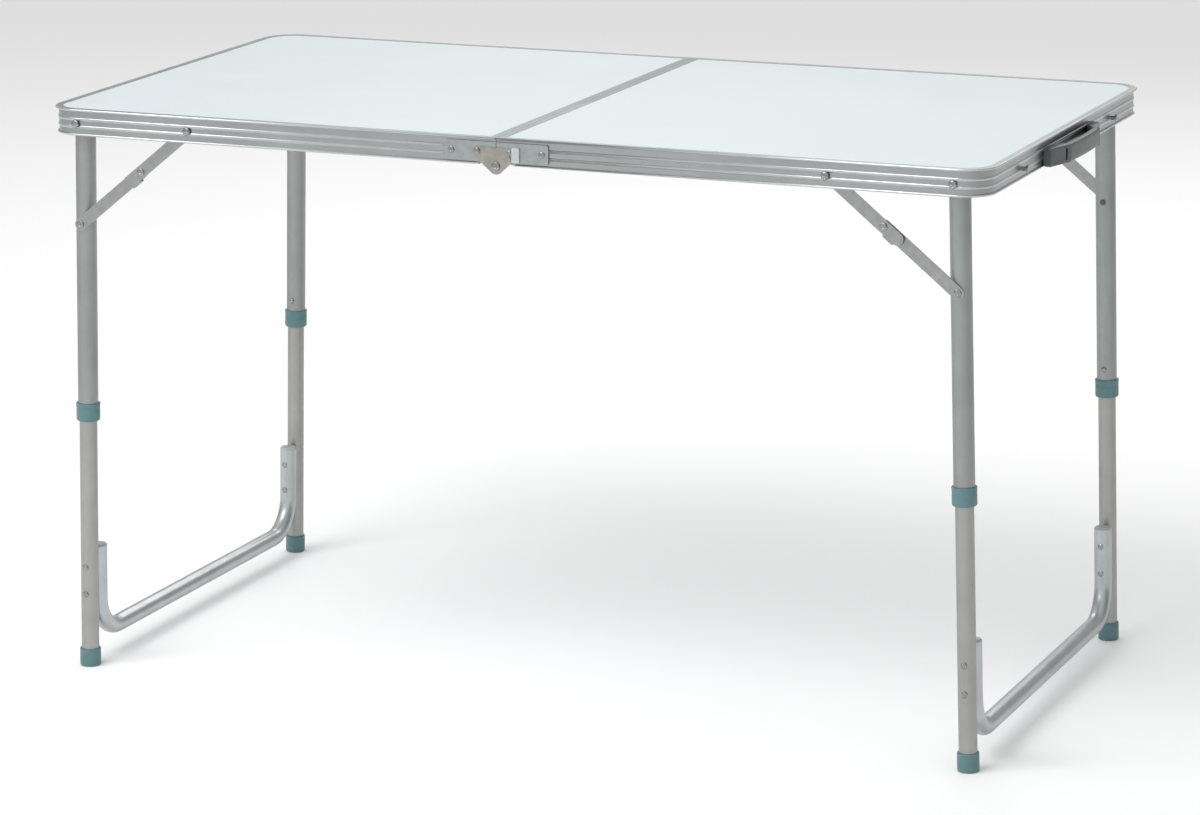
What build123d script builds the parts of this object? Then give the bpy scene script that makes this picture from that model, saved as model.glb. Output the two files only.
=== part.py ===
"""Folding camping table: two panelled halves that close like a case, and two telescopic leg pairs.

Frame: +X towards the end with the handle, +Z up, origin on the floor under the middle of the
table's box. "left" is the half at -X and "right" the half at +X; "front" is -Y and "back" is +Y.
The leg pairs splay outwards, so each leg is drawn along its own axis, measured "down" from its pivot.
All sizes are in millimetres.
"""

import os
from math import atan2, cos, degrees, hypot, radians, sin

from build123d import *

LEFT, RIGHT = -1, 1
FRONT, BACK = -1, 1
HALVES = {LEFT: "left", RIGHT: "right"}
SIDES = {FRONT: "front", BACK: "back"}

# ---- overall ----
table_length = 1200.0
table_width = 630.0
table_height = 710.0
corner_radius = 41.0
seam_gap = 0.6
running_gap = 0.3        # between faces of pieces that move past each other
pin_clearance = 0.05     # radial, where a pin turns in a hole
seat_gap = 0.03          # where a piece is pushed or riveted into another

# ---- rim rails: depths are measured down from the table top, insets from the lip's edge ----
rail_depth = 33.0
rail_wall = 1.6
lip_overhang = 4.0       # from the lip's edge to the face of the web
lip_width = 9.0
lip_thickness = 1.2
lip_bead = 2.6
ridge_height = 0.9
ridge_width = 3.6
upper_ridge_top = 11.0
lower_ridge_top = 20.4
bottom_lip_reach = 2.0
bottom_lip_top = 30.2
bottom_lip_height = 2.2
bottom_flange_width = 2.0
shelf_thickness = 1.4
rail_relief_length = 23.0
rail_relief_height = 8.0

# ---- panels ----
panel_thickness = 4.0
panel_side_clearance = 0.3
panel_rise = 0.6         # of the open field above the edges held under the lips

# ---- leg pivots and braces on the long rails ----
leg_splay = 1.6          # degrees, outwards
leg_pivot_x = 557.5      # from the seam
leg_rail_gap = 9.9       # from the inner face of a long rail to the upper tube
leg_top_clearance = 0.8  # between a panel and the rounded top of a leg
brace_bolt_x = 406.0     # from the seam
bolt_diameter = 6.0
bolt_head_diameter = 9.6
bolt_head_height = 2.5
nut_diameter = 9.0
nut_height = 4.5
spacer_diameter = 10.0

# ---- telescopic legs: heights are above the floor ----
upper_tube_diameter = 25.0
upper_tube_wall = 1.2
lower_tube_diameter = 22.0
lower_tube_wall = 1.2
tube_overlap = 80.0
collar_bottom = 316.0
collar_height = 23.0
collar_wall = 2.25        # around the upper tube
collar_lip = 4.0
collar_bevel = 2.5
foot_height = 23.0
foot_wall = 2.0
foot_floor = 5.0
foot_bevel = 1.2

# ---- snap buttons ----
button_height = 353.0
button_diameter = 6.8
button_proud = 2.6
button_travel = 3.0
button_clearance = 0.1
spring_width = 7.0
spring_thickness = 0.6
spring_length = 46.0

# ---- crossbars ----
crossbar_diameter = 22.0
crossbar_wall = 1.4
crossbar_height = 35.0
crossbar_bend = 48.0
crossbar_top = 149.5
plug_height = 3.0
plug_stem = 12.0
rivet_heights = (129.0, 94.0)
rivet_diameter = 4.0
rivet_head_diameter = 7.6
rivet_head_height = 1.3

# ---- folding braces ----
brace_drop = 126.0       # from the leg pivot down the leg to the brace rivet
upper_link_share = 0.4365
link_width = 15.0
link_thickness = 2.0
link_rivet_diameter = 5.0
link_head_diameter = 9.0
link_head_height = 1.2
link_tail_height = 0.4
link_washer = 1.6
stop_tab_length = 21.0
stop_lip_start = 6.0
stop_lip_thickness = 1.8

# ---- centre hinges: x from the seam, depth below the table top ----
hinge_pivot_depth = 34.0
leaf_length = 66.0
leaf_top = 5.5
leaf_bottom = 29.0
leaf_thickness = 1.0
hinge_plate_thickness = 1.2
hinge_plate_radius = 9.5
plate_rivet_x = 24.0
plate_rivet_depth = 17.0
plate_end_radius = 6.0
plate_stop_x = 20.0
plate_top = 11.7
notch_sweep = 40.0       # degrees
leaf_rivet_x = 57.5
leaf_rivet_depth = 17.4
stud_x = 17.0
stud_depth = 17.3
stud_diameter = 5.0
stud_head_diameter = 6.4
stop_block_width = 9.5
stop_block_height = 17.5
hinge_pin_diameter = 5.0
hinge_pin_head = 10.0

# ---- carrying handle on the right end ----
handle_length = 196.0
handle_top = 11.0
handle_bottom = 33.0
handle_reach = 20.0          # beyond the lip's edge, at the middle of the grip
handle_end_depth = 9.0       # of the blocks at their outer ends, from the rail's ridges
handle_foot_length = 24.0    # of a block on the rail
grip_length = 116.0
grip_shoulder = 18.0         # reach of the grip beyond the lip's edge where it meets the blocks
grip_thickness = 9.5
grip_tongue = 10.0
grip_rib_count = 11
grip_rib_radius = 1.2
grip_rib_pitch = 7.0
grip_edge = 1.6
block_edge = 2.0
handle_screw_diameter = 4.0
handle_screw_head = 7.0
handle_screw_head_height = 2.4
handle_screw_depth = 9.0     # into a block

# ---- closing latches: hooks on the left end, studs on the right end ----
latch_y = 180.0
latch_stud_depth = 20.5
latch_stud_diameter = 5.0
latch_stud_head = 9.0
latch_stud_reach = 8.0
latch_hook_length = 29.0
latch_hook_width = 12.0
latch_hook_thickness = 1.2
latch_shoulder_diameter = 7.0

# ---- derived places ----
half_width = table_width / 2
web_outer = half_width - lip_overhang
web_inner = web_outer - rail_wall
crest = web_outer + ridge_height
end_crest = table_length / 2 - lip_overhang + ridge_height
end_web_outer = table_length / 2 - lip_overhang
end_web_inner = end_web_outer - rail_wall
seam_x = -handle_reach / 2
panel_top = table_height - lip_thickness
panel_bottom = panel_top - panel_thickness
bolt_depth = lip_thickness + panel_thickness + leg_top_clearance + upper_tube_diameter / 2
bolt_z = table_height - bolt_depth
splay_sin, splay_cos = sin(radians(leg_splay)), cos(radians(leg_splay))
leg_outer = web_inner - leg_rail_gap
leg_axis_y = leg_outer - upper_tube_diameter / 2
leg_inner = leg_axis_y - upper_tube_diameter / 2
lower_link_y = leg_outer + running_gap + 0.2
upper_link_y = lower_link_y + link_thickness + link_washer
lower_bore_radius = lower_tube_diameter / 2 + running_gap


def from_seam(half, distance):
    """World X of a point this far from the seam, on the given half."""
    return seam_x + half * distance


def down_for(height):
    """Distance down a leg at which its axis is at this height above the floor."""
    return (bolt_z - height) / splay_cos


def leg_point(half, y, down, outward=0.0):
    """Point on a leg: down its axis from the pivot, and outwards across it."""
    x = from_seam(half, leg_pivot_x + down * splay_sin + outward * splay_cos)
    return Vector(x, y, bolt_z - down * splay_cos + outward * splay_sin)


def leg_section(half, y, down):
    """Plane across a leg; extruding from it runs down the leg."""
    return Plane(leg_point(half, y, down), x_dir=(0, 1, 0), z_dir=(half * splay_sin, 0, -splay_cos))


def leg_profile_plane(half, y):
    """Plane through a leg's axis, for turned pieces: x is the radius, y runs up the leg."""
    return Plane(leg_point(half, y, 0), x_dir=(0, 1, 0), z_dir=(splay_cos, 0, half * splay_sin))


def leg_axis(half, y):
    return Axis(leg_point(half, y, 0), (-half * splay_sin, 0, splay_cos))


def wall_plane(side, near, far):
    """XZ plane from which extruding far - near fills |y| from near to far."""
    return Plane.XZ.offset(near if side == FRONT else -far)


def cross_plane(x, z):
    """Plane for a piece turned about a line along Y: x is the radius, y is world Y."""
    return Plane((x, 0, z))


def cross_axis(x, z):
    return Axis((x, 0, z), (0, 1, 0))


def outline(side, points):
    """Turned outline of (radius, distance from the middle plane) on the front or the back."""
    return [(radius, side * y) for radius, y in points]


def headed_pin(pin_radius, start, end, head_radius, head_height, crown=0.5):
    """Outline of a pin from start to end with a crowned head beyond its end."""
    return [
        (0, start),
        (pin_radius, start),
        (pin_radius, end),
        (head_radius, end),
        (head_radius, end + head_height * crown),
        (head_radius * 0.6, end + head_height),
        (0, end + head_height),
    ]


def save(piece, name):
    piece.label = name
    export_step(piece, f"parts/{name}.step")


# ================================ table top ================================

def rim_path_points(half):
    inner_x = from_seam(half, seam_gap / 2)
    outer_x = from_seam(half, table_length / 2)
    arc_x = from_seam(half, table_length / 2 - corner_radius)
    arc_y = half_width - corner_radius
    return inner_x, outer_x, arc_x, arc_y


def build_outer_rail(half):
    """Rim rail bent round three sides of one half, with its ridges, lips and panel groove."""
    inner_x, outer_x, arc_x, arc_y = rim_path_points(half)
    web_near, web_far = lip_overhang, lip_overhang + rail_wall
    shelf_top = lip_thickness + panel_thickness
    bead = lip_bead / 2
    bottom_bead = bottom_lip_height / 2
    bottom_lip_near = lip_overhang - bottom_lip_reach + bottom_bead
    strips = [
        (bead, web_far, 0, lip_bead),
        (bead, lip_width, 0, lip_thickness),
        (web_near, web_far, 0, rail_depth),
        (bottom_lip_near, web_near, bottom_lip_top, bottom_lip_top + bottom_lip_height),
        (web_near, web_far + bottom_flange_width, rail_depth - shelf_thickness, rail_depth),
        (web_near, lip_width, shelf_top, shelf_top + shelf_thickness),
    ]
    with BuildPart() as rail:
        with BuildLine() as path:
            front = Line((inner_x, -half_width, table_height), (arc_x, -half_width, table_height))
            TangentArc(front @ 1, (outer_x, -arc_y, table_height), tangent=front % 1)
            end = Line((outer_x, -arc_y, table_height), (outer_x, arc_y, table_height))
            TangentArc(end @ 1, (arc_x, half_width, table_height), tangent=end % 1)
            Line((arc_x, half_width, table_height), (inner_x, half_width, table_height))
        section_plane = Plane((inner_x, -half_width, table_height), x_dir=(0, 1, 0), z_dir=(1, 0, 0))
        with BuildSketch(section_plane):
            for near, far, top, bottom in strips:
                with Locations(((near + far) / 2, -(top + bottom) / 2)):
                    Rectangle(far - near, bottom - top)
            with Locations((bead, -bead)):
                RegularPolygon(bead, side_count=12)
            with Locations((bottom_lip_near, -(bottom_lip_top + bottom_bead))):
                RegularPolygon(bottom_bead, side_count=8)
            for ridge_top in (upper_ridge_top, lower_ridge_top):
                with BuildLine():
                    Polyline(
                        (web_near, -ridge_top),
                        (web_near - ridge_height, -(ridge_top + ridge_height)),
                        (web_near - ridge_height, -(ridge_top + ridge_width - ridge_height)),
                        (web_near, -(ridge_top + ridge_width)),
                        close=True,
                    )
                make_face()
        sweep(path=path.line)
        with BuildSketch(Plane.XZ.offset(-half_width - 1)):
            with BuildLine():
                Polyline(
                    (inner_x, table_height - rail_depth - 1),
                    (inner_x, table_height - rail_depth + rail_relief_height),
                    (from_seam(half, rail_relief_length), table_height - rail_depth),
                    (from_seam(half, rail_relief_length), table_height - rail_depth - 1),
                    close=True,
                )
            make_face()
        extrude(amount=table_width + 2, mode=Mode.SUBTRACT)
        for side in SIDES:
            with BuildSketch(wall_plane(side, web_outer, half_width)):
                with Locations((from_seam(half, rail_relief_length / 2), table_height - rail_depth)):
                    Rectangle(rail_relief_length, 2 * (rail_depth - bottom_lip_top + running_gap))
            extrude(amount=lip_overhang, mode=Mode.SUBTRACT)
        with BuildSketch(Plane.XZ.offset(-half_width - 1)):
            with Locations((from_seam(half, leg_pivot_x), bolt_z), (from_seam(half, brace_bolt_x), bolt_z)):
                Circle(bolt_diameter / 2 + seat_gap)
            for place, depth, diameter in hinge_holes(half):
                with Locations((from_seam(half, place), table_height - depth)):
                    Circle(diameter / 2 + seat_gap)
        extrude(amount=table_width + 2, mode=Mode.SUBTRACT)
        with BuildSketch(Plane.YZ.offset(from_seam(half, end_web_inner - 1))):
            for y, depth, diameter in end_holes(half):
                with Locations((y, table_height - depth), (-y, table_height - depth)):
                    Circle(diameter / 2 + seat_gap)
        extrude(amount=half * (lip_overhang + rail_wall + 1), mode=Mode.SUBTRACT)
    return rail.part


def hinge_holes(half):
    """Rivet holes beside the seam, as (distance from the seam, depth, diameter)."""
    leaf_hole = (leaf_rivet_x, leaf_rivet_depth, rivet_diameter)
    if half == LEFT:
        return [leaf_hole, (plate_rivet_x, plate_rivet_depth, rivet_diameter)]
    return [leaf_hole, (stud_x, stud_depth, stud_diameter)]


def end_holes(half):
    """Holes through the short side of the rim, as (y, depth, diameter)."""
    if half == LEFT:
        return [(latch_y, bolt_depth, rivet_diameter)]
    handle_middle = (handle_top + handle_bottom) / 2
    return [(latch_y, latch_stud_depth, latch_stud_diameter),
            (handle_screw_y(), handle_middle, handle_screw_diameter)]


def build_centre_rail(half):
    """Straight rail along the seam, between the long sides of the rim."""
    length = table_width - 2 * lip_width
    shelf_top = lip_thickness + panel_thickness
    strips = [
        (0, lip_width, 0, lip_thickness),
        (0, rail_wall, 0, rail_depth),
        (0, lip_width, shelf_top, shelf_top + shelf_thickness),
        (0, rail_wall + bottom_flange_width, rail_depth - shelf_thickness, rail_depth),
    ]
    with BuildPart() as rail:
        with BuildSketch(Plane.XZ.offset(-length / 2)):
            for near, far, top, bottom in strips:
                middle = seam_gap / 2 + (near + far) / 2
                with Locations((from_seam(half, middle), table_height - (top + bottom) / 2)):
                    Rectangle(far - near, bottom - top)
        extrude(amount=length)
        top_edges = edges().filter_by(Axis.Y).group_by(Axis.Z)[-1]
        fillet(top_edges, radius=lip_thickness * 0.4)
    return rail.part


def build_panel(half):
    """Board held in the grooves of the rim and the centre rail, with its open field slightly raised."""
    inset = lip_overhang + rail_wall + panel_side_clearance
    seam_side = seam_gap / 2 + rail_wall + panel_side_clearance
    length = table_length / 2 - inset - seam_side
    field_inset = lip_width + panel_side_clearance
    field_seam_side = seam_gap / 2 + field_inset
    field_length = table_length / 2 - field_inset - field_seam_side
    with BuildPart() as panel:
        with BuildSketch(Plane.XY.offset(panel_bottom)):
            with Locations((from_seam(half, seam_side + length / 2), 0)):
                Rectangle(length, table_width - 2 * inset)
            fillet(vertices().group_by(Axis.X)[-1 if half == RIGHT else 0], radius=corner_radius - inset)
        extrude(amount=panel_thickness)
        with BuildSketch(Plane.XY.offset(panel_top)):
            with Locations((from_seam(half, field_seam_side + field_length / 2), 0)):
                Rectangle(field_length, table_width - 2 * field_inset)
            fillet(vertices().group_by(Axis.X)[-1 if half == RIGHT else 0], radius=corner_radius - field_inset)
        extrude(amount=panel_rise)
    return panel.part


# ================================ fasteners on the rails ================================

def build_leg_pivot_bolts(half):
    """Bolts on which the two legs of a half turn, each with its lock nut inside the leg."""
    nut_face = leg_inner - running_gap
    shank_end = nut_face - nut_height - 1
    x = from_seam(half, leg_pivot_x)
    with BuildPart() as bolts:
        for side in SIDES:
            with BuildSketch(cross_plane(x, bolt_z)):
                with BuildLine():
                    points = headed_pin(bolt_diameter / 2, shank_end, crest, bolt_head_diameter / 2,
                                        bolt_head_height)
                    Polyline(*outline(side, points), close=True)
                make_face()
            revolve(axis=cross_axis(x, bolt_z))
            with BuildSketch(wall_plane(side, nut_face - nut_height, nut_face)):
                with Locations((x, bolt_z)):
                    RegularPolygon(nut_diameter / 2, side_count=6)
            extrude(amount=nut_height)
    return bolts.part


def build_brace_bolts(half):
    """Bolts that carry the upper brace links, with thin riveted ends behind the links."""
    x = from_seam(half, brace_bolt_x)
    tail_face = upper_link_y - 0.2
    with BuildPart() as bolts:
        for side in SIDES:
            points = [
                (0, tail_face - 1.0),
                (link_head_diameter / 2, tail_face - 1.0),
                (link_head_diameter / 2, tail_face),
            ] + headed_pin(bolt_diameter / 2, tail_face, crest, bolt_head_diameter / 2, bolt_head_height)[1:]
            with BuildSketch(cross_plane(x, bolt_z)):
                with BuildLine():
                    Polyline(*outline(side, points), close=True)
                make_face()
            revolve(axis=cross_axis(x, bolt_z))
    return bolts.part


def build_spacers(half):
    """Tubes that hold the legs and the braces clear of the rail."""
    starts = {leg_pivot_x: leg_outer + running_gap, brace_bolt_x: upper_link_y + link_thickness + 0.2}
    with BuildPart() as spacers:
        for side in SIDES:
            for place, start in starts.items():
                end = web_inner - running_gap
                with BuildSketch(wall_plane(side, start, end)):
                    with Locations((from_seam(half, place), bolt_z)):
                        Circle(spacer_diameter / 2)
                        Circle(bolt_diameter / 2 + pin_clearance, mode=Mode.SUBTRACT)
                extrude(amount=end - start)
    return spacers.part


# ================================ centre hinges ================================

def hinge_z(depth):
    return table_height - depth


def build_hinge_leaves(half):
    """Flat leaf on each long rail; the right half's leaves reach down to the hinge pins."""
    pivot_x, pivot_z = seam_x, hinge_z(hinge_pivot_depth)
    with BuildPart() as leaves:
        for side in SIDES:
            with BuildSketch(wall_plane(side, crest, crest + leaf_thickness)):
                leaf_middle = from_seam(half, (leaf_length + seam_gap / 2) / 2)
                with Locations((leaf_middle, hinge_z((leaf_top + leaf_bottom) / 2))):
                    Rectangle(leaf_length - seam_gap / 2, leaf_bottom - leaf_top)
                outer_corners = vertices().group_by(Axis.X)[-1 if half == RIGHT else 0]
                fillet(outer_corners, radius=3)
                if half == RIGHT:
                    with Locations((pivot_x, pivot_z)):
                        Circle(hinge_plate_radius)
                        Circle(hinge_pin_diameter / 2 + pin_clearance, mode=Mode.SUBTRACT)
                else:
                    with Locations((pivot_x, pivot_z)):
                        Circle(hinge_plate_radius + 0.5, mode=Mode.SUBTRACT)
                for place, depth, diameter in hinge_holes(half):
                    with Locations((from_seam(half, place), hinge_z(depth))):
                        Circle(diameter / 2 + seat_gap, mode=Mode.SUBTRACT)
            extrude(amount=leaf_thickness)
    return leaves.part


def build_hinge_plates():
    """Three-cornered plates of the left half, with the open notch that stops on the studs."""
    near = crest + leaf_thickness + 0.1
    pivot = (seam_x, hinge_z(hinge_pivot_depth))
    notch_radius = hypot(stud_x, hinge_pivot_depth - stud_depth)
    notch_start = degrees(atan2(hinge_pivot_depth - stud_depth, stud_x))
    notch = CenterArc(pivot, notch_radius, notch_start - notch_sweep, notch_sweep)
    with BuildPart() as plates:
        for side in SIDES:
            with BuildSketch(wall_plane(side, near, near + hinge_plate_thickness)):
                with Locations(pivot):
                    Circle(hinge_plate_radius)
                with Locations((seam_x - plate_rivet_x, hinge_z(plate_top + plate_end_radius))):
                    Circle(plate_end_radius)
                with Locations((seam_x + plate_stop_x - 2, hinge_z(plate_top + 2))):
                    Circle(2)
                with Locations((seam_x + plate_stop_x - 2, hinge_z(hinge_pivot_depth - 6))):
                    Circle(2)
                make_hull(mode=Mode.REPLACE)
                SlotArc(notch, stud_diameter + 2 * running_gap, mode=Mode.SUBTRACT)
                with Locations((seam_x - plate_rivet_x, hinge_z(plate_rivet_depth))):
                    Circle(rivet_diameter / 2 + seat_gap, mode=Mode.SUBTRACT)
                with Locations(pivot):
                    Circle(hinge_pin_diameter / 2 + pin_clearance, mode=Mode.SUBTRACT)
            extrude(amount=hinge_plate_thickness)
    return plates.part


def build_hinge_pins():
    """Riveted pins on which the two halves turn."""
    inner = crest - 1.2
    outer = crest + leaf_thickness + 0.1 + hinge_plate_thickness
    with BuildPart() as pins:
        for side in SIDES:
            points = [(0, inner), (hinge_pin_diameter * 0.8, inner), (hinge_pin_diameter * 0.8, crest - 0.1)]
            points += headed_pin(hinge_pin_diameter / 2, crest - 0.1, outer, hinge_pin_head / 2, 1.6)[1:]
            with BuildSketch(cross_plane(seam_x, hinge_z(hinge_pivot_depth))):
                with BuildLine():
                    Polyline(*outline(side, points), close=True)
                make_face()
            revolve(axis=cross_axis(seam_x, hinge_z(hinge_pivot_depth)))
    return pins.part


def build_hinge_rivets(half):
    """Rivets of the leaves, and on the left half those of the hinge plates."""
    plate_face = crest + leaf_thickness + 0.1 + hinge_plate_thickness
    places = [(leaf_rivet_x, leaf_rivet_depth, crest + leaf_thickness)]
    if half == LEFT:
        places.append((plate_rivet_x, plate_rivet_depth, plate_face))
    with BuildPart() as rivets:
        for side in SIDES:
            for place, depth, face in places:
                x, z = from_seam(half, place), hinge_z(depth)
                with BuildSketch(cross_plane(x, z)):
                    with BuildLine():
                        points = headed_pin(rivet_diameter / 2, web_inner - 1.5, face, rivet_head_diameter / 2,
                                            rivet_head_height)
                        Polyline(*outline(side, points), close=True)
                    make_face()
                revolve(axis=cross_axis(x, z))
    return rivets.part


def build_hinge_studs():
    """Studs of the right half that the notches close on."""
    x, z = seam_x + stud_x, hinge_z(stud_depth)
    plate_face = crest + leaf_thickness + 0.1 + hinge_plate_thickness
    with BuildPart() as studs:
        for side in SIDES:
            points = headed_pin(stud_diameter / 2, web_inner - 1.5, plate_face + 0.2, stud_head_diameter / 2, 1.2)
            with BuildSketch(cross_plane(x, z)):
                with BuildLine():
                    Polyline(*outline(side, points), close=True)
                make_face()
            revolve(axis=cross_axis(x, z))
    return studs.part


def build_stop_blocks():
    """Raised blocks of the right half beside the hinge plates."""
    near = crest + leaf_thickness
    height = 2.4
    top = plate_top - 1
    with BuildPart() as blocks:
        for side in SIDES:
            with BuildSketch(wall_plane(side, near, near + height)):
                middle = (seam_x + plate_stop_x + running_gap + stop_block_width / 2,
                          hinge_z(top + stop_block_height / 2))
                with Locations(middle):
                    RectangleRounded(stop_block_width, stop_block_height, 1.2)
            extrude(amount=height)
    return blocks.part


# ================================ handle and latches ================================

def build_handle_blocks():
    """End blocks of the handle, flaring from the end rail to the grip, with sockets for its tongues."""
    base = seam_x + end_crest
    lip_face = seam_x + end_web_outer + bottom_lip_reach + running_gap
    shoulder = seam_x + table_length / 2 + grip_shoulder
    end_y, foot_y, grip_y = handle_length / 2, handle_length / 2 - handle_foot_length, grip_length / 2
    bottom_z, height = hinge_z(handle_bottom), handle_bottom - handle_top
    with BuildPart() as blocks:
        for side in SIDES:
            with BuildSketch(Plane.XY.offset(bottom_z)):
                with BuildLine():
                    Polyline(
                        (base, side * end_y),
                        (base + handle_end_depth, side * end_y),
                        (shoulder, side * grip_y),
                        (shoulder - grip_thickness, side * grip_y),
                        (base, side * foot_y),
                        close=True,
                    )
                make_face()
            extrude(amount=height)
        fillet(edges().filter_by(GeomType.LINE).filter_by(is_block_edge), radius=block_edge)
        with BuildSketch(Plane.XZ.offset(-end_y - 1)):
            with Locations((lip_face - lip_overhang / 2, hinge_z(rail_depth))):
                Rectangle(lip_overhang, 2 * (rail_depth - bottom_lip_top + running_gap))
        extrude(amount=handle_length + 2, mode=Mode.SUBTRACT)
        with BuildSketch(Plane.XY.offset(bottom_z + 2 * block_edge)):
            with Locations((shoulder - grip_thickness / 2, 0)):
                Rectangle(grip_thickness / 2 + 2 * running_gap, grip_length + 2 * (grip_tongue + running_gap))
        extrude(amount=height - 4 * block_edge, mode=Mode.SUBTRACT)
        with BuildSketch(Plane.YZ.offset(base - 1)):
            with Locations(*[(side * handle_screw_y(), bottom_z + height / 2) for side in SIDES]):
                Circle(handle_screw_diameter / 2 + seat_gap)
        extrude(amount=1 + handle_screw_depth + running_gap, mode=Mode.SUBTRACT)
    return blocks.part


def is_block_edge(edge):
    """Whether an edge of a block is one of its rounded outer ones, away from the rail and the grip."""
    middle = edge @ 0.5
    return middle.X > seam_x + end_crest + 1 and abs(middle.Y) > grip_length / 2 + 1


def handle_screw_y():
    return handle_length / 2 - handle_foot_length / 2


def build_handle_grip():
    """Bowed grip with a tongue in each block and finger ribs on its inner side."""
    shoulder = seam_x + table_length / 2 + grip_shoulder
    outer = seam_x + table_length / 2 + handle_reach
    span = grip_length / 2 - running_gap
    bottom_z, height = hinge_z(handle_bottom), handle_bottom - handle_top
    with BuildPart() as grip:
        with BuildSketch(Plane.XY.offset(bottom_z)):
            with BuildLine():
                ThreePointArc((shoulder, -span), (outer, 0), (shoulder, span))
                Line((shoulder, span), (shoulder - grip_thickness, span))
                ThreePointArc((shoulder - grip_thickness, span), (outer - grip_thickness, 0),
                              (shoulder - grip_thickness, -span))
                Line((shoulder - grip_thickness, -span), (shoulder, -span))
            make_face()
        extrude(amount=height)
        fillet(edges().filter_by(GeomType.CIRCLE), radius=grip_edge)
        with BuildSketch(Plane.XY.offset(bottom_z + 2 * grip_edge)):
            for index in range(grip_rib_count):
                rib_y = (index - (grip_rib_count - 1) / 2) * grip_rib_pitch
                bow = (handle_reach - grip_shoulder) * (rib_y / span) ** 2
                with Locations((outer - grip_thickness - bow, rib_y)):
                    Circle(grip_rib_radius)
        extrude(amount=height - 4 * grip_edge)
        with BuildSketch(Plane.XY.offset(bottom_z + 2 * block_edge + running_gap)):
            with Locations((shoulder - grip_thickness / 2, 0)):
                Rectangle(grip_thickness / 2, grip_length + 2 * grip_tongue)
                Rectangle(grip_thickness, 2 * span - 2, mode=Mode.SUBTRACT)
        extrude(amount=height - 4 * block_edge - 2 * running_gap)
    return grip.part


def build_handle_screws():
    """Screws through the end rail into the handle's blocks, with their heads inside the rim."""
    z = hinge_z((handle_top + handle_bottom) / 2)
    radius, head = handle_screw_diameter / 2, handle_screw_head / 2
    tip = end_crest + handle_screw_depth
    with BuildPart() as screws:
        for side in SIDES:
            y = side * handle_screw_y()
            with BuildSketch(Plane((seam_x, y, z))):
                with BuildLine():
                    Polyline(
                        (end_web_inner - handle_screw_head_height, 0),
                        (end_web_inner - handle_screw_head_height, head * 0.7),
                        (end_web_inner - handle_screw_head_height / 2, head),
                        (end_web_inner, head),
                        (end_web_inner, radius),
                        (tip - radius, radius),
                        (tip, 0),
                        close=True,
                    )
                make_face()
            revolve(axis=Axis((seam_x, y, z), (1, 0, 0)))
    return screws.part


def build_latch_studs():
    """Mushroom studs on the right end that the hooks catch when the table is shut."""
    z = hinge_z(latch_stud_depth)
    waist = latch_stud_diameter / 2
    head = latch_stud_head / 2
    outer = end_web_outer + latch_stud_reach
    points = [
        (end_web_inner - 1.2, 0),
        (end_web_inner - 1.2, head),
        (end_web_inner, head),
        (end_web_inner, waist),
        (outer - 2.4, waist),
        (outer - 2.0, head),
        (outer - 0.8, head),
        (outer, head * 0.6),
        (outer, 0),
    ]
    with BuildPart() as studs:
        for side in SIDES:
            y = side * latch_y
            with BuildSketch(Plane((seam_x, y, z))):
                with BuildLine():
                    Polyline(*points, close=True)
                make_face()
            revolve(axis=Axis((seam_x, y, z), (1, 0, 0)))
    return studs.part


def latch_hook_near():
    """Distance from the seam to the inner face of a hook."""
    return end_web_outer + bottom_lip_reach + 0.2


def build_latch_hook(side):
    """Flat hook of the left end, folded away along the rail, pointing at the table's middle."""
    z = hinge_z(bolt_depth)
    notch_radius = latch_stud_diameter / 2 + 0.5
    middle_plane = Plane((seam_x - latch_hook_near(), 0, 0), x_dir=(0, -1, 0), z_dir=(-1, 0, 0))
    with BuildPart() as hook:
        with BuildSketch(middle_plane):
            with Locations((-side * (latch_y - latch_hook_length / 2), z)):
                SlotCenterToCenter(latch_hook_length, latch_hook_width)
            with Locations((-side * (latch_y - latch_hook_length), z)):
                Circle(notch_radius, mode=Mode.SUBTRACT)
            with Locations((-side * (latch_y - latch_hook_length), z - latch_hook_width / 2)):
                Rectangle(2 * notch_radius, latch_hook_width, mode=Mode.SUBTRACT)
            with Locations((-side * latch_y, z)):
                Circle(rivet_diameter / 2 + pin_clearance, mode=Mode.SUBTRACT)
        extrude(amount=latch_hook_thickness)
    return hook.part


def build_latch_rivets():
    """Rivets on which the hooks turn."""
    z = hinge_z(bolt_depth)
    start = end_web_inner - 1.2
    hook_face = latch_hook_near() + latch_hook_thickness + 0.1
    shoulder_face = latch_hook_near() - 0.1
    shoulder = latch_shoulder_diameter / 2
    points = [(0, start), (rivet_head_diameter / 2, start), (rivet_head_diameter / 2, end_web_inner),
              (rivet_diameter / 2, end_web_inner), (rivet_diameter / 2, end_crest), (shoulder, end_crest),
              (shoulder, shoulder_face)]
    points += headed_pin(rivet_diameter / 2, shoulder_face, hook_face, rivet_head_diameter / 2, 0.5)[1:]
    with BuildPart() as rivets:
        for side in SIDES:
            y = side * latch_y
            with BuildSketch(Plane((seam_x, y, z))):
                with BuildLine():
                    Polyline(*[(-along, radius) for radius, along in points], close=True)
                make_face()
            revolve(axis=Axis((seam_x, y, z), (1, 0, 0)))
    return rivets.part


# ================================ telescopic legs ================================

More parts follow.
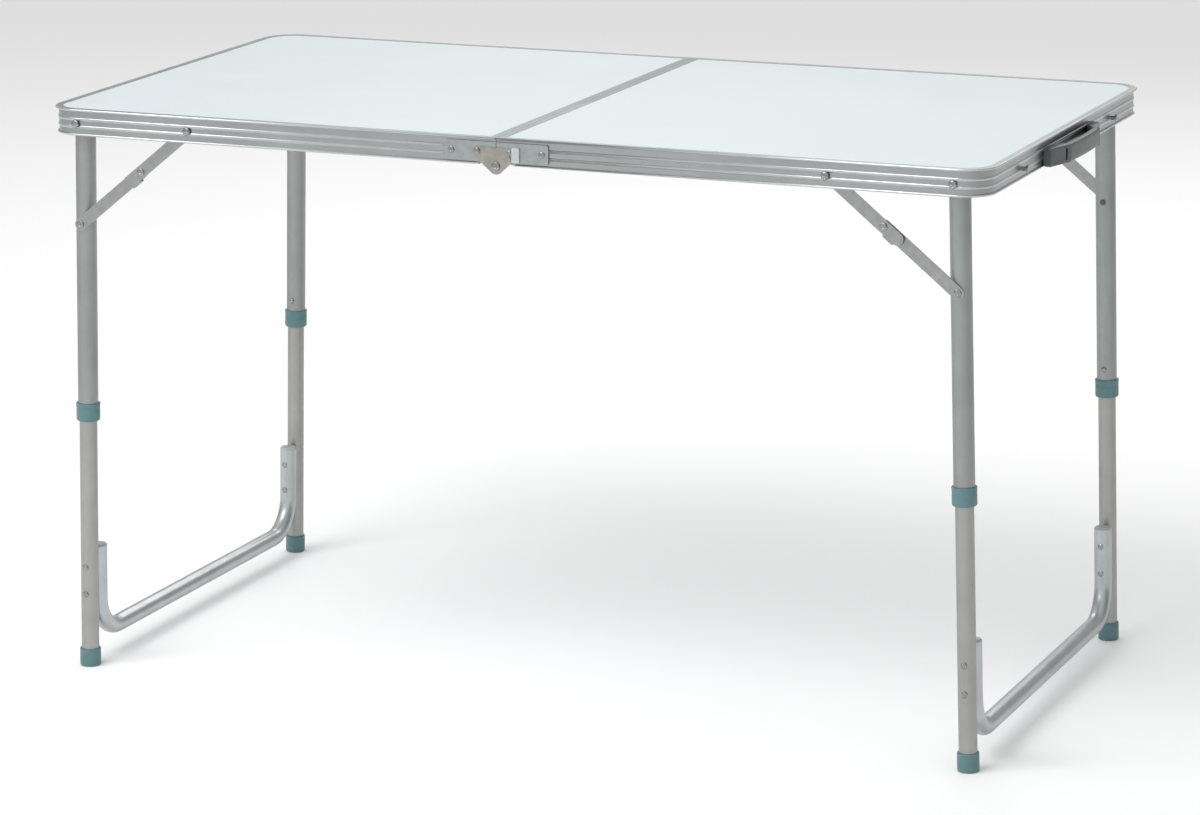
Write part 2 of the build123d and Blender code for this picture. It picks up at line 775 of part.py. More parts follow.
def build_upper_leg(half, side):
    """Upper tube with a rounded top round its pivot and a hole for the snap button."""
    y = side * leg_axis_y
    radius = upper_tube_diameter / 2
    bottom = down_for(collar_bottom + collar_lip)
    button_down = down_for(button_height)
    pivot = leg_point(half, y, 0)
    with BuildPart() as tube:
        with BuildSketch(leg_section(half, y, -radius)):
            Circle(radius)
            Circle(radius - upper_tube_wall, mode=Mode.SUBTRACT)
        extrude(amount=bottom + radius)
        with BuildSketch(Plane((pivot.X, y + radius + 1, bolt_z), x_dir=(splay_cos, 0, half * splay_sin),
                               z_dir=(0, -1, 0))):
            Circle(radius)
            with Locations((0, -bottom / 2)):
                Rectangle(2 * radius + 2, bottom)
        extrude(amount=2 * radius + 2, mode=Mode.INTERSECT)
        with BuildSketch(cross_hole_plane(half, y, 0)):
            Circle(bolt_diameter / 2 + pin_clearance)
        extrude(amount=2 * radius + 2, both=True, mode=Mode.SUBTRACT)
        with BuildSketch(cross_hole_plane(half, y, brace_drop)):
            Circle(link_rivet_diameter / 2 + seat_gap)
        extrude(amount=2 * radius + 2, both=True, mode=Mode.SUBTRACT)
        with BuildSketch(cross_hole_plane(half, y, button_down)):
            Circle(button_diameter / 2 + button_clearance)
        extrude(amount=-side * (radius + 2), mode=Mode.SUBTRACT)
    return tube.part


def cross_hole_plane(half, y, down):
    """Plane through a leg's axis and square to Y, for holes along +Y."""
    return Plane(leg_point(half, y, down), x_dir=(1, 0, 0), z_dir=(0, 1, 0))


def build_collars(half):
    """Collars that close the lower ends of the upper tubes and guide the lower ones."""
    outer, bevel = upper_tube_diameter / 2 + collar_wall, collar_bevel
    tube_radius = upper_tube_diameter / 2 + seat_gap
    bottom = down_for(collar_bottom)
    shoulder = bottom - collar_lip
    top = bottom - collar_height
    points = [
        (tube_radius, top),
        (tube_radius, shoulder + seat_gap),
        (lower_bore_radius, shoulder + seat_gap),
        (lower_bore_radius, bottom),
        (outer - 1, bottom),
        (outer, bottom - 1),
        (outer, top + bevel),
        (outer - bevel * 0.6, top),
    ]
    with BuildPart() as collars:
        for side in SIDES:
            y = side * leg_axis_y
            with BuildSketch(leg_profile_plane(half, y)):
                with BuildLine():
                    Polyline(*[(radius, -down) for radius, down in points], close=True)
                make_face()
            revolve(axis=leg_axis(half, y))
    return collars.part


def build_lower_leg(half, side):
    """Lower tube, with a hole for the snap button and two for the crossbar's rivets."""
    y = side * leg_axis_y
    radius = lower_tube_diameter / 2
    top = down_for(collar_bottom) - tube_overlap
    bottom = down_for(foot_floor)
    with BuildPart() as tube:
        with BuildSketch(leg_section(half, y, top)):
            Circle(radius)
            Circle(radius - lower_tube_wall, mode=Mode.SUBTRACT)
        extrude(amount=bottom - top)
        with BuildSketch(cross_hole_plane(half, y, down_for(button_height))):
            Circle(button_diameter / 2 + 2 * button_clearance)
        extrude(amount=-side * (radius + 2), mode=Mode.SUBTRACT)
        for height in rivet_heights:
            with BuildSketch(cross_hole_plane(half, y, down_for(height))):
                Circle(rivet_diameter / 2 + seat_gap)
            extrude(amount=radius + 2, both=True, mode=Mode.SUBTRACT)
    return tube.part


def build_feet(half):
    """Foot caps, cut level where they stand on the floor."""
    outer = lower_tube_diameter / 2 + foot_wall
    bore = lower_tube_diameter / 2 + seat_gap
    top, floor, bottom = down_for(foot_height), down_for(foot_floor) + seat_gap, down_for(0) + 2
    points = [(0, floor), (bore, floor), (bore, top), (outer - foot_bevel, top), (outer, top + foot_bevel),
              (outer, bottom), (0, bottom)]
    with BuildPart() as feet:
        for side in SIDES:
            y = side * leg_axis_y
            with BuildSketch(leg_profile_plane(half, y)):
                with BuildLine():
                    Polyline(*[(radius, -down) for radius, down in points], close=True)
                make_face()
            revolve(axis=leg_axis(half, y))
        split(bisect_by=Plane.XY, keep=Keep.TOP)
    return feet.part


def crossbar_axis_y():
    return leg_axis_y - lower_tube_diameter / 2 - crossbar_diameter / 2 - running_gap


def build_crossbar(half):
    """U-shaped tube between the two legs of a half."""
    top, run = down_for(crossbar_top), down_for(crossbar_height)
    end_y = crossbar_axis_y()
    radius = crossbar_diameter / 2
    with BuildPart() as bar:
        with BuildLine() as path:
            FilletPolyline(
                leg_point(half, -end_y, top),
                leg_point(half, -end_y, run),
                leg_point(half, end_y, run),
                leg_point(half, end_y, top),
                radius=crossbar_bend,
            )
        with BuildSketch(leg_section(half, -end_y, top)):
            Circle(radius)
            Circle(radius - crossbar_wall, mode=Mode.SUBTRACT)
        sweep(path=path.line)
        for side in SIDES:
            for height in rivet_heights:
                with BuildSketch(cross_hole_plane(half, side * end_y, down_for(height))):
                    Circle(rivet_diameter / 2 + seat_gap)
                extrude(amount=radius + 2, both=True, mode=Mode.SUBTRACT)
    return bar.part


def build_crossbar_plugs(half):
    """Rounded plugs in the open ends of the crossbar."""
    top = down_for(crossbar_top)
    stem = crossbar_diameter / 2 - crossbar_wall - seat_gap
    rim = crossbar_diameter / 2
    points = [(0, top + plug_stem), (stem, top + plug_stem), (stem, top), (rim, top), (rim, top - 1.2),
              (rim - 1.6, top - plug_height), (0, top - plug_height)]
    with BuildPart() as plugs:
        for side in SIDES:
            y = side * crossbar_axis_y()
            with BuildSketch(leg_profile_plane(half, y)):
                with BuildLine():
                    Polyline(*[(radius, -down) for radius, down in points], close=True)
                make_face()
            revolve(axis=leg_axis(half, y))
    return plugs.part


def build_crossbar_rivets(half):
    """Rivets through the legs and the ends of the crossbar, with a head at both ends."""
    inner = crossbar_axis_y() - crossbar_diameter / 2
    outer = leg_axis_y + lower_tube_diameter / 2
    head = rivet_head_diameter / 2
    points = [(0, inner - rivet_head_height), (head * 0.6, inner - rivet_head_height), (head, inner - 0.5),
              (head, inner)]
    points += headed_pin(rivet_diameter / 2, inner, outer, head, rivet_head_height)[1:]
    with BuildPart() as rivets:
        for side in SIDES:
            for height in rivet_heights:
                place = leg_point(half, 0, down_for(height))
                with BuildSketch(cross_plane(place.X, place.Z)):
                    with BuildLine():
                        Polyline(*outline(side, points), close=True)
                    make_face()
                revolve(axis=cross_axis(place.X, place.Z))
    return rivets.part


def build_snap_button(half, side):
    """Domed button through the wall of the upper tube, facing the other leg."""
    place = leg_point(half, 0, down_for(button_height))
    inner = leg_axis_y - lower_tube_diameter / 2 - 0.2
    tip = leg_inner - button_proud
    radius = button_diameter / 2
    dome_height = button_proud - 0.4
    dome_radius = (radius**2 + dome_height**2) / (2 * dome_height)
    half_angle = atan2(radius, dome_radius - dome_height) / 2
    dome_middle = (dome_radius * sin(half_angle), side * (tip + dome_radius * (1 - cos(half_angle))))
    with BuildPart() as button:
        with BuildSketch(cross_plane(place.X, place.Z)):
            with BuildLine():
                Polyline((0, side * tip), (0, side * inner), (radius, side * inner),
                         (radius, side * (tip + dome_height)))
                ThreePointArc((radius, side * (tip + dome_height)), dome_middle, (0, side * tip))
            make_face()
        revolve(axis=cross_axis(place.X, place.Z))
    return button.part


def build_button_springs(half):
    """Bent strip springs inside the lower tubes, behind the buttons."""
    start = leg_axis_y - lower_tube_diameter / 2 + button_travel + 0.8
    far_wall = leg_axis_y + lower_tube_diameter / 2 - lower_tube_wall - 1.2
    down = down_for(button_height)
    with BuildPart() as springs:
        for side in SIDES:
            plane = Plane(leg_point(half, 0, down), x_dir=(0, 1, 0), z_dir=(splay_cos, 0, half * splay_sin))
            with BuildSketch(plane.offset(-spring_width / 2)):
                with BuildLine() as bend:
                    Polyline(
                        (side * start, 6),
                        (side * start, -8),
                        (side * (start + far_wall) / 2, -spring_length),
                        (side * far_wall, -8),
                        (side * far_wall, 6),
                    )
                    offset(amount=spring_thickness / 2, kind=Kind.INTERSECTION)
                make_face()
            extrude(amount=spring_width)
    return springs.part


# ================================ folding braces ================================

def brace_points(half):
    """Ends and middle joint of a straight, locked brace, in the XZ plane."""
    top = Vector(from_seam(half, brace_bolt_x), 0, bolt_z)
    foot = leg_point(half, 0, brace_drop)
    middle = top + (foot - top) * upper_link_share
    return top, middle, foot


def link_plane(half, start, along_to, side, near, far):
    """Plane at |y| between near and far, x from start towards along_to."""
    direction = (along_to - start).normalized()
    y = -near if side == FRONT else far
    return Plane((start.X, y, start.Z), x_dir=(direction.X, 0, direction.Z), z_dir=(0, -1, 0))


def build_upper_links(half):
    """Upper brace links with the overlapping stop tab past the middle joint."""
    top, middle, foot = brace_points(half)
    length = (middle - top).length
    lip_side = -1 if half == RIGHT else 1
    lip_offset = link_width / 2 + running_gap + stop_lip_thickness / 2
    with BuildPart() as links:
        for side in SIDES:
            near, far = upper_link_y, upper_link_y + link_thickness
            with BuildSketch(link_plane(half, top, foot, side, near, far)):
                with Locations(((length + stop_tab_length) / 2, 0)):
                    SlotOverall(length + stop_tab_length + link_width, link_width)
                with Locations((length + (stop_lip_start + stop_tab_length) / 2, lip_side * (lip_offset - 2))):
                    Rectangle(stop_tab_length - stop_lip_start, stop_lip_thickness + 4)
                with Locations((0, 0)):
                    Circle(bolt_diameter / 2 + pin_clearance, mode=Mode.SUBTRACT)
                with Locations((length, 0)):
                    Circle(link_rivet_diameter / 2 + pin_clearance, mode=Mode.SUBTRACT)
            extrude(amount=link_thickness)
            with BuildSketch(link_plane(half, top, foot, side, lower_link_y, far)):
                with Locations((length + (stop_lip_start + stop_tab_length) / 2, lip_side * lip_offset)):
                    Rectangle(stop_tab_length - stop_lip_start, stop_lip_thickness)
            extrude(amount=far - lower_link_y)
    return links.part


def build_lower_links(half):
    """Lower brace links, from the middle joint to the leg."""
    top, middle, foot = brace_points(half)
    length = (foot - middle).length
    with BuildPart() as links:
        for side in SIDES:
            near, far = lower_link_y, lower_link_y + link_thickness
            with BuildSketch(link_plane(half, middle, foot, side, near, far)):
                with Locations((length / 2, 0)):
                    SlotCenterToCenter(length, link_width)
                with Locations((0, 0), (length, 0)):
                    Circle(link_rivet_diameter / 2 + seat_gap, mode=Mode.SUBTRACT)
            extrude(amount=link_thickness)
    return links.part


def build_link_rivets(half):
    """Middle rivets with their washers, and the pins at the links' lower ends."""
    top, middle, foot = brace_points(half)
    radius, head = link_rivet_diameter / 2, link_head_diameter / 2
    link_near, link_far = lower_link_y, lower_link_y + link_thickness
    middle_points = [(0, link_near - link_tail_height), (head * 0.8, link_near - link_tail_height),
                     (head, link_near), (radius, link_near), (radius, link_far), (head, link_far),
                     (head, upper_link_y - 0.1), (radius, upper_link_y - 0.1)]
    middle_points += headed_pin(radius, 0, upper_link_y + link_thickness + 0.1, head, link_head_height)[2:]
    foot_points = headed_pin(radius, leg_outer + running_gap, link_far, head, link_head_height)
    with BuildPart() as rivets:
        for side in SIDES:
            for place, points in ((middle, middle_points), (foot, foot_points)):
                with BuildSketch(cross_plane(place.X, place.Z)):
                    with BuildLine():
                        Polyline(*outline(side, points), close=True)
                    make_face()
                revolve(axis=cross_axis(place.X, place.Z))
    return rivets.part


def build_leg_rivets(half):
    """Rivet ends through the upper tubes where the braces meet the legs."""
    place = leg_point(half, 0, brace_drop)
    radius, head = link_rivet_diameter / 2, rivet_head_diameter / 2
    points = [(0, leg_inner - rivet_head_height), (head * 0.6, leg_inner - rivet_head_height),
              (head, leg_inner - 0.5), (head, leg_inner), (radius, leg_inner), (radius, leg_outer - 0.1),
              (0, leg_outer - 0.1)]
    with BuildPart() as rivets:
        for side in SIDES:
            with BuildSketch(cross_plane(place.X, place.Z)):
                with BuildLine():
                    Polyline(*outline(side, points), close=True)
                make_face()
            revolve(axis=cross_axis(place.X, place.Z))
    return rivets.part


# ================================ write every piece ================================

os.makedirs("parts", exist_ok=True)

HALF_PIECES = {
    "panel": build_panel,
    "outer_rail": build_outer_rail,
    "centre_rail": build_centre_rail,
    "leg_pivot_bolts": build_leg_pivot_bolts,
    "brace_bolts": build_brace_bolts,
    "spacers": build_spacers,
    "hinge_leaves": build_hinge_leaves,
    "hinge_rivets": build_hinge_rivets,
    "collars": build_collars,
    "feet": build_feet,
    "crossbar": build_crossbar,
    "crossbar_plugs": build_crossbar_plugs,
    "crossbar_rivets": build_crossbar_rivets,
    "button_springs": build_button_springs,
    "upper_links": build_upper_links,
    "lower_links": build_lower_links,
    "link_rivets": build_link_rivets,
    "leg_rivets": build_leg_rivets,
}

LEG_PIECES = {
    "upper_leg": build_upper_leg,
    "lower_leg": build_lower_leg,
    "snap_button": build_snap_button,
}

SINGLE_PIECES = {
    "hinge_plates": build_hinge_plates,
    "hinge_pins": build_hinge_pins,
    "hinge_studs": build_hinge_studs,
    "hinge_stop_blocks": build_stop_blocks,
    "latch_studs": build_latch_studs,
    "latch_rivets": build_latch_rivets,
    "handle_blocks": build_handle_blocks,
    "handle_grip": build_handle_grip,
    "handle_screws": build_handle_screws,
}

for half, half_name in HALVES.items():
    for piece_name, build in HALF_PIECES.items():
        save(build(half), f"{half_name}_{piece_name}")
    for side, side_name in SIDES.items():
        for piece_name, build in LEG_PIECES.items():
            save(build(half, side), f"{half_name}_{side_name}_{piece_name}")

for side, side_name in SIDES.items():
    save(build_latch_hook(side), f"{side_name}_latch_hook")

for piece_name, build in SINGLE_PIECES.items():
    save(build(), piece_name)
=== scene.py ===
"""Folding camping table: materials, small mesh details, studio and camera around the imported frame."""

import math

import bmesh
import bpy
from mathutils import Matrix, Vector


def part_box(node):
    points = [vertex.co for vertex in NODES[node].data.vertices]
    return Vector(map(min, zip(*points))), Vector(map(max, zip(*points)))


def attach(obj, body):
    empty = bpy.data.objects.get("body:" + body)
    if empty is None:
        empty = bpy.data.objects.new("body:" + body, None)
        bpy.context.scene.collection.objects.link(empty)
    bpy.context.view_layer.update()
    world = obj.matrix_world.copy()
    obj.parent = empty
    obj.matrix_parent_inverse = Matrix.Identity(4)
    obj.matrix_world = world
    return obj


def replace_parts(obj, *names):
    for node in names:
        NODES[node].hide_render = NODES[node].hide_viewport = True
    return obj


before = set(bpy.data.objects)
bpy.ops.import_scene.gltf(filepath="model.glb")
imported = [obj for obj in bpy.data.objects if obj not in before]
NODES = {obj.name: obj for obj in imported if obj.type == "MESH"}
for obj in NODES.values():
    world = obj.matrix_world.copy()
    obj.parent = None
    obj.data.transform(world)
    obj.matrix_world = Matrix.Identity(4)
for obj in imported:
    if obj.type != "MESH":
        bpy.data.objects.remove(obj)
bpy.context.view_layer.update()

# ---- camera: a long lens, well back from the front right corner ----
CAMERA_PLACE = Vector((2.061, -4.942, 1.613))
CAMERA_AZIMUTH = 22.76
CAMERA_ELEVATION = 13.6
CAMERA_ROLL = -0.38
CAMERA_LENS = 132.7

# ---- studio ----
FLOOR_COLOUR = (0.95, 0.95, 0.95, 1)
WORLD_STRENGTH = 1.0

# ---- the two halves, and sizes that their pieces follow (metres) ----
HALVES = {"left": -1, "right": 1}
RIM_CORNER = 0.041
LEG_SPLAY = math.radians(1.6)

# Beads along the rim, as (inset, depth below the top, half width, half height, start away from the seam):
# the top lip, the two ridges, and the bottom lip, which starts past the hinge leaves.
RIM_BEADS = (
    (0.0013, 0.0013, 0.00136, 0.00136, 0.0),
    (0.0040, 0.0128, 0.00094, 0.00185, 0.0),
    (0.0040, 0.0222, 0.00094, 0.00185, 0.0),
    (0.0031, 0.0313, 0.00114, 0.00114, 0.024),
)

# ---- fastener heads, as the height of the CAD head that each detailed one covers ----
SCREW_HEAD = 0.0025
RIVET_HEAD = 0.0013
SMALL_HEAD = 0.0012
RECESS_DEPTH = 0.00055


def ends_with(*tails):
    return [name for name in NODES if name.endswith(tails)]


# ================================ material helpers ================================

class Shader:
    """A material's node tree, with short calls for the nodes used here."""

    def __init__(self, name):
        self.material = bpy.data.materials.new(name)
        self.material.use_nodes = True
        self.tree = self.material.node_tree
        self.nodes = self.tree.nodes
        self.surface = self.nodes["Principled BSDF"]
        self.place = self.nodes.new("ShaderNodeTexCoord").outputs["Object"]

    def link(self, source, target):
        self.tree.links.new(source, target)

    def set(self, **values):
        for name, value in values.items():
            self.surface.inputs[name.replace("_", " ")].default_value = value

    def scaled(self, scale):
        """Object position stretched by a scale on each axis."""
        node = self.nodes.new("ShaderNodeMapping")
        node.inputs["Scale"].default_value = scale
        self.link(self.place, node.inputs["Vector"])
        return node.outputs["Vector"]

    def noise(self, scale, detail=3.0, roughness=0.55, source=None, distortion=0.0):
        node = self.nodes.new("ShaderNodeTexNoise")
        node.inputs["Scale"].default_value = scale
        node.inputs["Detail"].default_value = detail
        node.inputs["Roughness"].default_value = roughness
        node.inputs["Distortion"].default_value = distortion
        self.link(source or self.place, node.inputs["Vector"])
        return node.outputs["Fac"]

    def ramp(self, source, stops):
        """Map a value through (position, value or colour) stops."""
        node = self.nodes.new("ShaderNodeValToRGB")
        elements = node.color_ramp.elements
        while len(elements) < len(stops):
            elements.new(0.5)
        for element, (position, colour) in zip(elements, stops):
            element.position = position
            level = colour if isinstance(colour, tuple) else (colour, colour, colour)
            element.color = (*level[:3], 1)
        self.link(source, node.inputs["Fac"])
        return node.outputs["Color"]

    def mix(self, factor, first, second, blend="MIX"):
        """Mix two colours, given as tuples or sockets."""
        node = self.nodes.new("ShaderNodeMix")
        node.data_type = "RGBA"
        node.blend_type = blend
        sockets = (node.inputs["Factor"], node.inputs[6], node.inputs[7])
        for socket, value in zip(sockets, (factor, first, second)):
            if isinstance(value, (int, float)):
                socket.default_value = value
            elif isinstance(value, tuple):
                socket.default_value = (*value[:3], 1)
            else:
                self.link(value, socket)
        return node.outputs[2]

    def edge_highlight_mask(self, radius=0.0006):
        """Mask for the painted edge highlights: 0 on flat stretches, rising to 1 along sharp edges."""
        bevel = self.nodes.new("ShaderNodeBevel")
        bevel.samples = 4
        bevel.inputs["Radius"].default_value = radius
        geometry = self.nodes.new("ShaderNodeNewGeometry")
        dot = self.nodes.new("ShaderNodeVectorMath")
        dot.operation = "DOT_PRODUCT"
        self.link(bevel.outputs["Normal"], dot.inputs[0])
        self.link(geometry.outputs["Normal"], dot.inputs[1])
        turn = self.nodes.new("ShaderNodeMath")
        turn.operation = "SUBTRACT"
        turn.use_clamp = True
        turn.inputs[0].default_value = 1.0
        self.link(dot.outputs["Value"], turn.inputs[1])
        return turn.outputs["Value"]

    def bump(self, height, strength=0.2, distance=0.0004):
        node = self.nodes.new("ShaderNodeBump")
        node.inputs["Strength"].default_value = strength
        node.inputs["Distance"].default_value = distance
        self.link(height, node.inputs["Height"])
        self.link(node.outputs["Normal"], self.surface.inputs["Normal"])

    def colour(self, socket):
        self.link(socket, self.surface.inputs["Base Color"])

    def roughness(self, socket):
        self.link(socket, self.surface.inputs["Roughness"])


def give(names, material):
    """Put a material on CAD nodes."""
    for name in names:
        for slot in NODES[name].material_slots:
            slot.material = material


# ================================ materials ================================

def panel_laminate():
    """Cool white laminate with a fine orange-peel and a faintly cloudy sheen."""
    shader = Shader("panel_laminate")
    shader.set(Specular_IOR_Level=0.35)
    tint = shader.ramp(shader.noise(3.5, detail=4), [(0.3, (0.60, 0.665, 0.68)), (0.7, (0.63, 0.695, 0.71))])
    fleck = shader.ramp(shader.noise(900, detail=2), [(0.35, 0.55), (0.65, 1.0)])
    shader.colour(shader.mix(0.06, tint, fleck, "MULTIPLY"))
    shader.roughness(shader.ramp(shader.noise(14, detail=5), [(0.3, 0.36), (0.7, 0.44)]))
    shader.bump(shader.noise(1400, detail=2), strength=0.05, distance=0.0002)
    return shader.material


def extruded_aluminium(name, low, high):
    """Satin anodised rail with fine die lines along the extrusion, and a painted highlight that turns its
    sharp edges near-white.
    """
    shader = Shader(name)
    shader.set(Metallic=1.0)
    lines = shader.noise(1.0, detail=6, roughness=0.7, source=shader.scaled((3.0, 3.0, 2600.0)))
    tone = shader.ramp(shader.noise(9, detail=4), [(0.3, low), (0.7, high)])
    # painted highlight: sharp edges mixed towards near-white
    shader.colour(shader.mix(shader.edge_highlight_mask(0.0007), tone, (0.93, 0.94, 0.94)))
    shader.roughness(shader.ramp(lines, [(0.3, 0.24), (0.7, 0.36)]))
    shader.bump(lines, strength=0.10, distance=0.0002)
    return shader.material


def drawn_tube(name, low, high, rough_low, rough_high):
    """Aluminium tube with faint drawing lines along its length."""
    shader = Shader(name)
    shader.set(Metallic=1.0)
    lines = shader.noise(1.0, detail=5, roughness=0.65, source=shader.scaled((1500.0, 1500.0, 4.0)))
    shader.colour(shader.ramp(shader.noise(22, detail=4), [(0.3, low), (0.7, high)]))
    shader.roughness(shader.ramp(lines, [(0.3, rough_low), (0.7, rough_high)]))
    shader.bump(lines, strength=0.06, distance=0.0002)
    return shader.material


def moulded_plastic(name, low, high, rough=0.42):
    """Moulded plastic with a fine spark-eroded grain and a painted highlight that makes its sharp edges
    paler.
    """
    shader = Shader(name)
    shader.set(Specular_IOR_Level=0.45)
    tone = shader.ramp(shader.noise(60, detail=4), [(0.3, low), (0.7, high)])
    # painted highlight: a paler tint for the sharp edges
    edge_highlight_tint = tuple(min(1.0, channel * 1.5 + 0.03) for channel in high)
    shader.colour(shader.mix(shader.edge_highlight_mask(0.0008), tone, edge_highlight_tint))
    grain = shader.noise(2600, detail=2)
    shader.roughness(shader.ramp(grain, [(0.3, rough - 0.06), (0.7, rough + 0.08)]))
    shader.bump(grain, strength=0.18, distance=0.00012)
    return shader.material


def plated_steel(name, low, high, rough_low, rough_high):
    """Zinc-plated sheet or fastener: blotchy tone, fine scratches, and a painted highlight that brightens its
    edges.
    """
    shader = Shader(name)
    shader.set(Metallic=1.0)
    blotches = shader.noise(130, detail=5, distortion=0.4)
    scratches = shader.noise(1.0, detail=6, roughness=0.75, source=shader.scaled((400.0, 400.0, 2200.0)))
    tone = shader.ramp(blotches, [(0.32, low), (0.68, high)])
    # painted highlight: a brighter tint for the sharp edges
    bright = tuple(min(1.0, channel * 1.5) for channel in high)
    shader.colour(shader.mix(shader.edge_highlight_mask(0.0005), tone, bright))
    shader.roughness(shader.ramp(scratches, [(0.3, rough_low), (0.7, rough_high)]))
    shader.bump(scratches, strength=0.08, distance=0.0001)
    return shader.material


TEAL = moulded_plastic("teal_plastic", (0.095, 0.195, 0.205), (0.115, 0.22, 0.23))
GREY_PLASTIC = moulded_plastic("handle_plastic", (0.075, 0.09, 0.088), (0.10, 0.115, 0.112), 0.34)
PLATING = plated_steel("bright_plating", (0.24, 0.25, 0.25), (0.36, 0.37, 0.37), 0.12, 0.22)
# painted highlight: a lighter copy of the rail aluminium for the lip and ridge beads
HIGHLIGHT_BEAD_METAL = extruded_aluminium("painted_highlight_beads", (0.54, 0.565, 0.56), (0.62, 0.645, 0.64))

MATERIALS = {
    ("_panel",): panel_laminate(),
    ("_outer_rail",): extruded_aluminium("rim_aluminium", (0.345, 0.375, 0.37), (0.405, 0.435, 0.43)),
    # painted shade: a darker copy of the rail aluminium for the centre rails
    ("_centre_rail",): extruded_aluminium("painted_shade_seam_metal", (0.27, 0.30, 0.30), (0.33, 0.36, 0.36)),
    ("_upper_leg",): drawn_tube("upper_tube", (0.325, 0.33, 0.33), (0.375, 0.38, 0.38), 0.38, 0.50),
    ("_lower_leg",): drawn_tube("lower_tube", (0.36, 0.36, 0.35), (0.41, 0.41, 0.40), 0.38, 0.50),
    ("_crossbar",): drawn_tube("bright_tube", (0.44, 0.46, 0.465), (0.52, 0.54, 0.545), 0.30, 0.40),
    ("_collars", "_feet"): TEAL,
    ("_crossbar_plugs",): moulded_plastic("plug_plastic", (0.33, 0.38, 0.375), (0.38, 0.43, 0.42), 0.40),
    ("handle_blocks", "handle_grip"): GREY_PLASTIC,
    ("hinge_plates",): plated_steel("hinge_steel", (0.33, 0.315, 0.28), (0.41, 0.395, 0.355), 0.26, 0.40),
    ("_upper_links", "_lower_links"):
        plated_steel("link_steel", (0.315, 0.32, 0.32), (0.385, 0.39, 0.39), 0.30, 0.44),
    ("hinge_leaves", "_latch_hook", "_spacers"):
        plated_steel("zinc_steel", (0.34, 0.37, 0.37), (0.40, 0.43, 0.43), 0.28, 0.40),
    # painted highlight: a much brighter copy of the plated steel for the stop blocks
    ("hinge_stop_blocks",): plated_steel("painted_highlight_bracket", (0.56, 0.59, 0.59), (0.64, 0.67, 0.67), 0.26, 0.38),
    ("_button_springs",): plated_steel("spring_steel", (0.35, 0.35, 0.36), (0.45, 0.45, 0.46), 0.25, 0.35),
    # painted reflection: a near-black base standing in for the dark reflection on the leg rivet heads
    ("_leg_rivets",): plated_steel("painted_dark_rivet", (0.10, 0.10, 0.10), (0.17, 0.17, 0.16), 0.30, 0.45),
    ("_bolts", "hinge_rivets", "link_rivets", "crossbar_rivets", "latch_rivets", "hinge_pins", "hinge_studs",
     "latch_studs", "handle_screws", "_snap_button"): PLATING,
}

for tails, material in MATERIALS.items():
    give(ends_with(*tails), material)


# ================================ mesh pieces ================================

def loose_boxes(name):
    """Lowest and highest corner of each separate solid of a CAD node."""
    bm = bmesh.new()
    bm.from_mesh(NODES[name].data)
    bmesh.ops.remove_doubles(bm, verts=bm.verts, dist=1e-6)
    waiting = set(bm.verts)
    boxes = []
    while waiting:
        reached = [waiting.pop()]
        for vertex in reached:
            for edge in vertex.link_edges:
                other = edge.other_vert(vertex)
                if other in waiting:
                    waiting.remove(other)
                    reached.append(other)
        places = [vertex.co for vertex in reached]
        boxes.append(tuple(Vector(pick(place[axis] for place in places) for axis in range(3))
                           for pick in (min, max)))
    bm.free()
    return boxes


def add_piece(name, bm, material, body, bevel=0.0):
    """Finish a mesh as a smooth piece that rides on a body."""
    bmesh.ops.recalc_face_normals(bm, faces=bm.faces)
    mesh = bpy.data.meshes.new(name)
    bm.to_mesh(mesh)
    bm.free()
    mesh.polygons.foreach_set("use_smooth", [True] * len(mesh.polygons))
    mesh.materials.append(material)
    piece = bpy.data.objects.new(name, mesh)
    bpy.context.collection.objects.link(piece)
    if bevel:
        soften = piece.modifiers.new("soften", "BEVEL")
        soften.width = bevel
        soften.segments = 3
        soften.limit_method = "ANGLE"
        soften.harden_normals = True
    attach(piece, body)
    return piece


def add_turned(bm, points, place, axis, segments=64):
    """Add a closed turned solid from (radius, distance along the axis) points. An end may have radius 0."""
    turn = Vector((0, 0, 1)).rotation_difference(axis).to_matrix()
    rings = []
    for radius, along in points:
        if radius == 0:
            rings.append([bm.verts.new(place + turn @ Vector((0, 0, along)))])
            continue
        rings.append([bm.verts.new(place + turn @ Vector((radius * math.cos(a), radius * math.sin(a), along)))
                      for a in (2 * math.pi * step / segments for step in range(segments))])
    pairs = list(zip(rings, rings[1:]))
    if points[0][0] and points[-1][0]:
        pairs.append((rings[-1], rings[0]))
    for low, high in pairs:
        for step in range(segments):
            after = (step + 1) % segments
            corners = [low[step % len(low)], low[after % len(low)],
                       high[after % len(high)], high[step % len(high)]]
            bm.faces.new(list(dict.fromkeys(corners)))


def add_loft(bm, rings):
    """Join rings of vertices that have the same count, and close both ends."""
    around = len(rings[0])
    for first, second in zip(rings, rings[1:]):
        for step in range(around):
            after = (step + 1) % around
            bm.faces.new((first[step], first[after], second[after], second[step]))
    bm.faces.new(rings[0])
    bm.faces.new(rings[-1])


